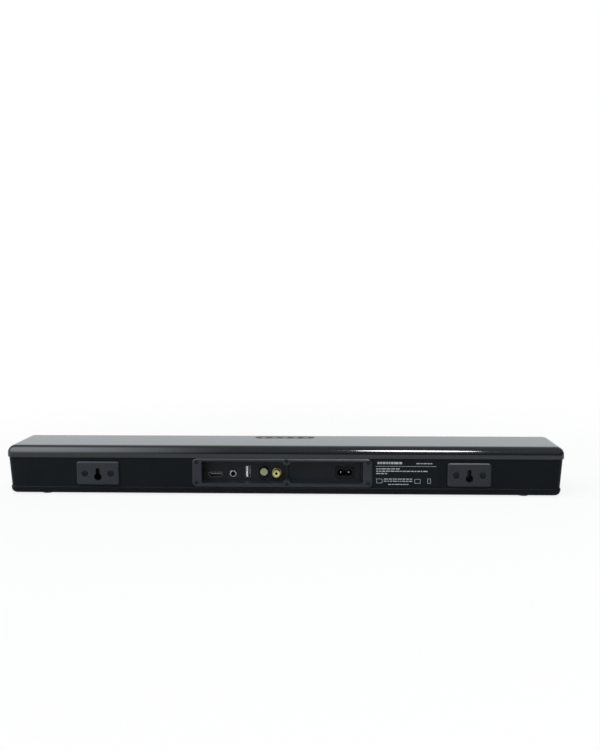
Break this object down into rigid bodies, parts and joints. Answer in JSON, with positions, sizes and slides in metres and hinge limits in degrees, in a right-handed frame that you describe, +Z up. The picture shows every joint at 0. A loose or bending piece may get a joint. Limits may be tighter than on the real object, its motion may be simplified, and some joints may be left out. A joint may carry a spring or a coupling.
{
  "type": "soundbar",
  "caption": "Compact soundbar with a glossy rounded cover, recessed socket panel, keyhole wall brackets, top buttons and a perforated front grille.",
  "frame": {"origin": "bottom centre of the whole bar, on the plane its feet stand on", "axes": "+X along the bar, +Y out of the back with the sockets, -Y out of the grille, +Z up"},
  "size_m": [0.603, 0.078, 0.054],
  "materials": {
    "gloss_black": "high gloss",
    "satin_black": "fine satin",
    "recess_black": "fine satin",
    "charcoal": "satin",
    "black_inner": "matt",
    "grille_black": "powder coat",
    "smoked_window": "polished",
    "black_screw": "black oxide",
    "plain_screw": "zinc",
    "nickel": "bright nickel",
    "dark_shell": "black nickel",
    "gilt": "gold flash",
    "contact_white": "moulded",
    "socket_black": "moulded",
    "cap_olive": "moulded",
    "coax_yellow": "moulded",
    "label_black": "printed film",
    "rubber_black": "matt",
    "button_black": "satin",
    "frame_steel": "painted",
    "magnet_grey": "sintered",
    "cone_black": "pulp",
    "spider_amber": "resined cloth",
    "board_green": "solder mask",
    "component_black": "moulded",
    "sink_aluminium": "extruded",
    "transformer_yellow": "tape",
    "lead_red": "sheath",
    "lead_brown": "sheath",
    "ribbon_grey": "flat cable"
  },
  "bodies": {
    "soundbar": {"top_cover": "gloss_black", "rear_housing_left": "satin_black", "rear_housing_right": "satin_black", "panel_frame": "satin_black", "base_tray": "satin_black", "button_trim": "satin_black", "socket_plate": "recess_black", "port_panel": "charcoal", "wall_bracket_left": "charcoal", "wall_bracket_right": "charcoal", "front_baffle": "black_inner", "case_pillars": "black_inner", "chamber_walls": "black_inner", "front_grille": "grille_black", "display_window": "smoked_window", "rear_screws": "black_screw", "base_screws": "black_screw", "inner_screws": "plain_screw", "aux_ring": "nickel", "ac_inlet_pins": "nickel", "hdmi_port": "dark_shell", "usb_shell": "dark_shell", "coax_barrel": "gilt", "usb_tongue": "contact_white", "aux_jack": "socket_black", "optical_port": "socket_black", "ac_inlet": "socket_black", "coax_body": "coax_yellow", "rating_label": "label_black", "feet": "rubber_black", "driver_surround_left": "rubber_black", "driver_surround_right": "rubber_black", "driver_gaskets": "rubber_black", "driver_frame_left": "frame_steel", "driver_frame_right": "frame_steel", "driver_magnet_left": "magnet_grey", "driver_magnet_right": "magnet_grey", "driver_spider_left": "spider_amber", "driver_spider_right": "spider_amber", "main_board": "board_green", "power_board": "board_green", "button_board": "board_green", "display_board": "board_green", "main_board_parts": "component_black", "power_board_parts": "component_black", "button_switches": "component_black", "heat_sink": "sink_aluminium", "transformer": "transformer_yellow", "speaker_lead_left": "lead_red", "speaker_lead_right": "lead_red", "mains_lead": "lead_brown", "display_ribbon": "ribbon_grey"},
    "button_source": {"button_source": "button_black"},
    "button_volume_down": {"button_volume_down": "button_black"},
    "button_power": {"button_power": "button_black"},
    "button_volume_up": {"button_volume_up": "button_black"},
    "button_play": {"button_play": "button_black"},
    "cone_left": {"driver_cone_left": "cone_black"},
    "cone_right": {"driver_cone_right": "cone_black"},
    "optical_cap": {"optical_cap": "cap_olive"}
  },
  "joints": [
    {"name": "source_press", "type": "slide", "parent": "soundbar", "child": "button_source", "axis": [0, 0, -1], "range_m": [0, 0.0005], "stiffness_N_per_m": 1500, "springref_m": -0.0003},
    {"name": "volume_down_press", "type": "slide", "parent": "soundbar", "child": "button_volume_down", "axis": [0, 0, -1], "range_m": [0, 0.0005], "stiffness_N_per_m": 1500, "springref_m": -0.0003},
    {"name": "power_press", "type": "slide", "parent": "soundbar", "child": "button_power", "axis": [0, 0, -1], "range_m": [0, 0.0005], "stiffness_N_per_m": 1500, "springref_m": -0.0003},
    {"name": "volume_up_press", "type": "slide", "parent": "soundbar", "child": "button_volume_up", "axis": [0, 0, -1], "range_m": [0, 0.0005], "stiffness_N_per_m": 1500, "springref_m": -0.0003},
    {"name": "play_press", "type": "slide", "parent": "soundbar", "child": "button_play", "axis": [0, 0, -1], "range_m": [0, 0.0005], "stiffness_N_per_m": 1500, "springref_m": -0.0003},
    {"name": "cone_left_travel", "type": "slide", "parent": "soundbar", "child": "cone_left", "axis": [0, -1, 0], "range_m": [-0.0015, 0.0015], "stiffness_N_per_m": 1500},
    {"name": "cone_right_travel", "type": "slide", "parent": "soundbar", "child": "cone_right", "axis": [0, -1, 0], "range_m": [-0.0015, 0.0015], "stiffness_N_per_m": 1500},
    {"name": "optical_cap_pull", "type": "slide", "parent": "soundbar", "child": "optical_cap", "axis": [0, 1, 0], "range_m": [0, 0.01]}
  ]
}
